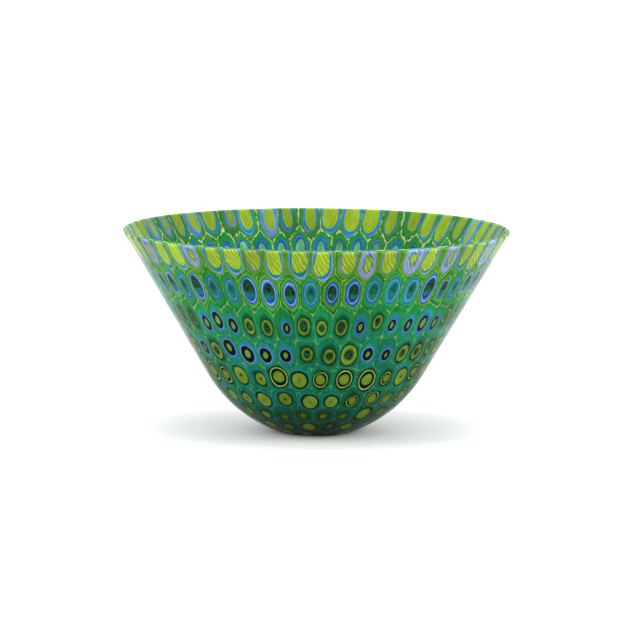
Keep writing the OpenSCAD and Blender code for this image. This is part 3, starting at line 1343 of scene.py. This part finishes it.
class Canes:
    """The canes that the courses are cut from, from the base to the lip."""

    # Olive with a thin black line round it, in dark teal.
    # Its low tone is painted shade at the base.
    LOW = CaneRecipe(
        core=((0.0, P.OLIVE), (0.85, P.OLIVE), (1.0, P.OLIVE_DARK)),
        core_other=((0.0, P.OLIVE), (0.8, P.OLIVE_DARK), (1.0, P.OLIVE_DARK)),
        collar=((0.0, P.OLIVE_DARK), (0.3, P.OLIVE_DARK), (0.42, P.BLACK), (0.72, P.BLACK),
                (0.9, P.BOTTLE)),
        collar_other=((0.0, P.BLACK), (0.35, P.BLACK), (0.5, P.OLIVE_DARK), (0.75, P.BOTTLE),
                      (1.0, P.BOTTLE)),
        halo=((0.0, P.BOTTLE, 1.0), (0.25, P.BOTTLE, 0.6), (0.5, P.BOTTLE, 0.0)),
        halo_other=((0.0, P.BOTTLE, 1.0), (0.2, P.BOTTLE, 0.6), (0.4, P.BOTTLE, 0.0)),
        seam_light=0.0, knot_light=0.12, inside=(P.OLIVE_DARK, P.SHADE, P.SHADE),
        figure=Figure.GRAIN, tone=0.55)
    # The same just above the foot, with less painted shade and stronger painted corner glints.
    FOOT = replace(LOW, tone=0.68, knot_light=0.2)
    # Olive core, black ring, thin olive ring, black line, teal casing.
    BELLY = CaneRecipe(
        core=((0.0, P.OLIVE), (0.8, P.OLIVE), (0.95, P.OLIVE_DARK)),
        core_other=((0.0, P.BLACK), (0.14, P.BLACK), (0.26, P.OLIVE_DARK), (0.4, P.OLIVE), (1.0, P.OLIVE)),
        collar=((0.0, P.BOTTLE), (0.08, P.BLACK), (0.48, P.BLACK), (0.58, P.OLIVE_LIGHT),
                (0.72, P.OLIVE_LIGHT), (0.82, P.BLACK), (1.0, P.BLACK)),
        collar_other=((0.0, P.OLIVE), (0.5, P.OLIVE), (0.68, P.OLIVE_DARK), (0.8, P.BLACK), (1.0, P.BLACK)),
        halo=((0.0, P.BLACK, 1.0), (0.12, P.SHADE, 1.0), (0.36, P.SHADE, 0.7), (0.6, P.SHADE, 0.0)),
        halo_other=((0.0, P.BOTTLE, 1.0), (0.15, P.SHADE, 0.9), (0.35, P.LAGOON, 0.5), (0.5, P.LAGOON, 0.0)),
        seam_light=0.05, knot_light=0.5, inside=(P.OLIVE, P.SHADE, P.SHADE),
        figure=Figure.GRAIN, other_share=0.38, tone=0.78)
    # Dark eye in a broad olive ring, or olive in black with a pale line.
    WALL = CaneRecipe(
        core=((0.0, P.BLACK), (0.6, P.BLACK), (0.74, P.BOTTLE), (0.9, P.OLIVE_DARK), (1.0, P.OLIVE)),
        core_other=((0.0, P.OLIVE), (0.62, P.OLIVE), (0.78, P.BLACK), (1.0, P.BLACK)),
        collar=((0.0, P.OLIVE_DARK), (0.15, P.OLIVE), (0.6, P.OLIVE), (0.74, P.OLIVE_DARK),
                (0.86, P.BLACK), (1.0, P.BLACK)),
        collar_other=((0.0, P.BLACK), (0.6, P.BLACK), (0.74, P.PETROL), (0.86, P.LAVENDER), (1.0, P.LAGOON)),
        halo=((0.0, P.BOTTLE, 1.0), (0.16, P.SHADE, 1.0), (0.36, P.SHADE, 0.6), (0.6, P.LAGOON, 0.0)),
        halo_other=((0.0, P.COBALT, 0.9), (0.2, P.LAGOON, 0.8), (0.5, P.LAGOON, 0.0)),
        seam_light=0.14, knot_light=0.85, inside=(P.MINT, P.PETROL, P.SHADE),
        figure=Figure.CORDS, other_share=0.32, tone=0.78)
    # Bottle green eye, lavender ring, blue halo, olive ring, green casing.
    UPPER = CaneRecipe(
        core=((0.0, P.BLACK), (0.55, P.BLACK), (0.85, P.BOTTLE), (1.0, P.BLACK)),
        core_other=((0.0, P.BOTTLE), (0.6, P.BOTTLE), (0.85, P.PETROL), (1.0, P.COBALT)),
        collar=((0.0, P.BLACK), (0.16, P.PETROL), (0.46, P.COBALT), (0.62, P.LAVENDER),
                (0.86, P.LAVENDER), (1.0, P.AZURE)),
        collar_other=((0.0, P.PETROL), (0.2, P.SEA), (0.6, P.SEA), (0.74, P.LAVENDER), (0.9, P.COBALT)),
        halo=((0.0, P.COBALT, 1.0), (0.14, P.COBALT, 1.0), (0.27, P.LEAF, 0.9), (0.42, P.MOSS, 1.0),
              (0.56, P.MOSS, 1.0), (0.70, P.LEAF, 0.0)),
        halo_other=((0.0, P.COBALT, 0.9), (0.2, P.LAGOON, 0.9), (0.42, P.LEAF, 0.7), (0.7, P.LEAF, 0.0)),
        seam_light=0.8, knot_light=0.95, inside=(P.MINT, P.COBALT, P.LEAF),
        figure=Figure.CORDS, crescent=0.85, other_share=0.36, tone=0.76)
    # Ribbed chartreuse, teal and azure line, lavender ring, olive casing.
    RIM = CaneRecipe(
        core=((0.0, P.CHARTREUSE), (1.0, P.CHARTREUSE)),
        core_other=((0.0, P.CHARTREUSE), (0.3, P.CHARTREUSE), (0.5, P.MOSS), (0.62, P.COBALT),
                    (0.8, P.AZURE), (1.0, P.LAVENDER)),
        collar=((0.0, P.SEA), (0.25, P.SEA), (0.4, P.COBALT), (0.58, P.AZURE), (0.72, P.LAVENDER),
                (1.0, P.LAVENDER)),
        collar_other=((0.0, P.LAVENDER), (0.8, P.LAVENDER), (1.0, P.AZURE)),
        halo=((0.0, P.AZURE, 0.8), (0.1, P.SEA, 0.9), (0.24, P.MOSS, 1.0), (0.6, P.MOSS, 1.0),
              (0.8, P.MOSS, 0.2)),
        halo_other=((0.0, P.LAVENDER, 0.8), (0.12, P.MOSS, 1.0), (0.6, P.MOSS, 1.0), (0.8, P.MOSS, 0.2)),
        seam_light=0.85, knot_light=0.95, inside=(P.CHARTREUSE, P.AZURE, P.LEAF),
        figure=Figure.RIBS, other_share=0.24, tone=0.68)


@dataclass
class MurrineBowl:
    """The whole bowl: its section and its courses from the base to the lip."""

    section: BowlSection
    courses: list[Course] = field(default_factory=list)

    def set_out(self) -> None:
        """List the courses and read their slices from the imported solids."""
        self.courses = [
            CentreMurrina("centre", 1.0, Canes.LOW),
            Course("base_inner", 1.1, Canes.LOW),
            Course("base_outer", 1.15, Canes.LOW),
            Course("foot", 1.2, Canes.LOW),
            Course("belly_1", 1.25, Canes.FOOT),
            Course("belly_2", 1.3, Canes.BELLY),
            Course("belly_3", 1.35, Canes.BELLY),
            Course("wall_1", 1.5, Canes.WALL),
            Course("wall_2", 1.8, Canes.WALL),
            Course("wall_3", 2.15, Canes.UPPER),
            RimCourse("rim", 2.0, Canes.RIM),
        ]
        SettingOut(Chart(self.section)).read(self.courses)

    def build(self) -> None:
        """Shape and dress every layer of every course."""
        shaper = SliceShaper(Chart(self.section))
        for course in self.courses:
            for layer in Layer:
                glass = GlassMesh()
                for one in course.slices:
                    shaper.shell(one, course, layer, glass)
                node = course.node(layer)
                piece = glass.build(f"{node}_glass")
                piece.data.materials.append(GlassFinish(course.recipe, layer).material(f"{node}_finish"))
                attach(piece, "root")
                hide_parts(node)
                LOG.info("%s: %d slices, %d faces", piece.name, len(course.slices), len(piece.data.polygons))


@dataclass(frozen=True)
class Studio:
    """The plain pale floor, the soft lights and the camera."""

    elevation: float = math.radians(7.59)
    roll: float = math.radians(0.45)
    frame_width: float = 0.4315
    lens: float = 250.0
    sensor: float = 36.0
    look_at: tuple[float, float, float] = (0.0029, 0.0, 0.0749)
    light_aim: tuple[float, float, float] = (0.0, 0.0, 0.07)
    light_power: float = 14.0
    sky: float = 1.2
    paint: Color = (0.94, 0.94, 0.94)
    floor_drop: float = 0.2 * MM

    def build(self) -> None:
        """Make the floor, the lights and the camera."""
        self.floor()
        self.lights()
        self.camera()

    def floor(self) -> None:
        """A wide pale floor."""
        bpy.ops.mesh.primitive_plane_add(size=30, location=(0, 6, -self.floor_drop))
        floor = bpy.context.object
        floor.name = "studio_floor"
        g = GlassNodes("floor_paint")
        paint = g.node("ShaderNodeBsdfPrincipled")
        g.feed(paint.inputs["Base Color"], self.paint)
        g.feed(paint.inputs["Roughness"], 0.9)
        g.feed(g.node("ShaderNodeOutputMaterial").inputs[0], paint.outputs[0])
        floor.data.materials.append(g.material)
        floor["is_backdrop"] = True

    def lights(self) -> None:
        """A bright sky, two broad side lights and one above."""
        world = bpy.data.worlds.new("studio_air")
        bpy.context.scene.world = world
        world.use_nodes = True
        air = world.node_tree.nodes["Background"]
        air.inputs["Color"].default_value = (1, 1, 1, 1)
        air.inputs["Strength"].default_value = self.sky
        for name, place, size in (("left_light", (-1.6, -0.3, 0.7), 1.0),
                                  ("right_light", (1.6, -0.3, 0.7), 1.0),
                                  ("top_light", (0, -0.2, 1.8), 1.2)):
            data = bpy.data.lights.new(name, "AREA")
            data.energy, data.size = self.light_power, size
            lamp = bpy.data.objects.new(name, data)
            lamp.location = place
            aim = Vector(self.light_aim) - Vector(place)
            lamp.rotation_euler = aim.to_track_quat("-Z", "Y").to_euler()
            bpy.context.scene.collection.objects.link(lamp)

    def camera(self) -> None:
        """A long lens a little above the lip."""
        data = bpy.data.cameras.new("studio_camera")
        data.lens, data.sensor_width = self.lens, self.sensor
        data.clip_end = 100
        distance = self.frame_width * self.lens / self.sensor
        way = Vector((0, -math.cos(self.elevation), math.sin(self.elevation)))
        camera = bpy.data.objects.new("studio_camera", data)
        camera.location = Vector(self.look_at) + way * distance
        camera.rotation_euler = (-way).to_track_quat("-Z", "Y").to_euler()
        camera.rotation_euler.rotate_axis("Z", self.roll)
        bpy.context.scene.collection.objects.link(camera)
        bpy.context.scene.camera = camera
        bpy.context.scene.view_settings.view_transform = "Standard"


def main() -> None:
    """Build the studio and the bowl."""
    logging.basicConfig(level=logging.INFO, format="%(name)s: %(message)s")
    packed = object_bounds()
    high = packed[1]
    bowl = MurrineBowl(BowlSection(lip_r=high[0], height=high[2]))
    bowl.set_out()
    bowl.build()
    Studio().build()


if __name__ == "__main__":
    main()
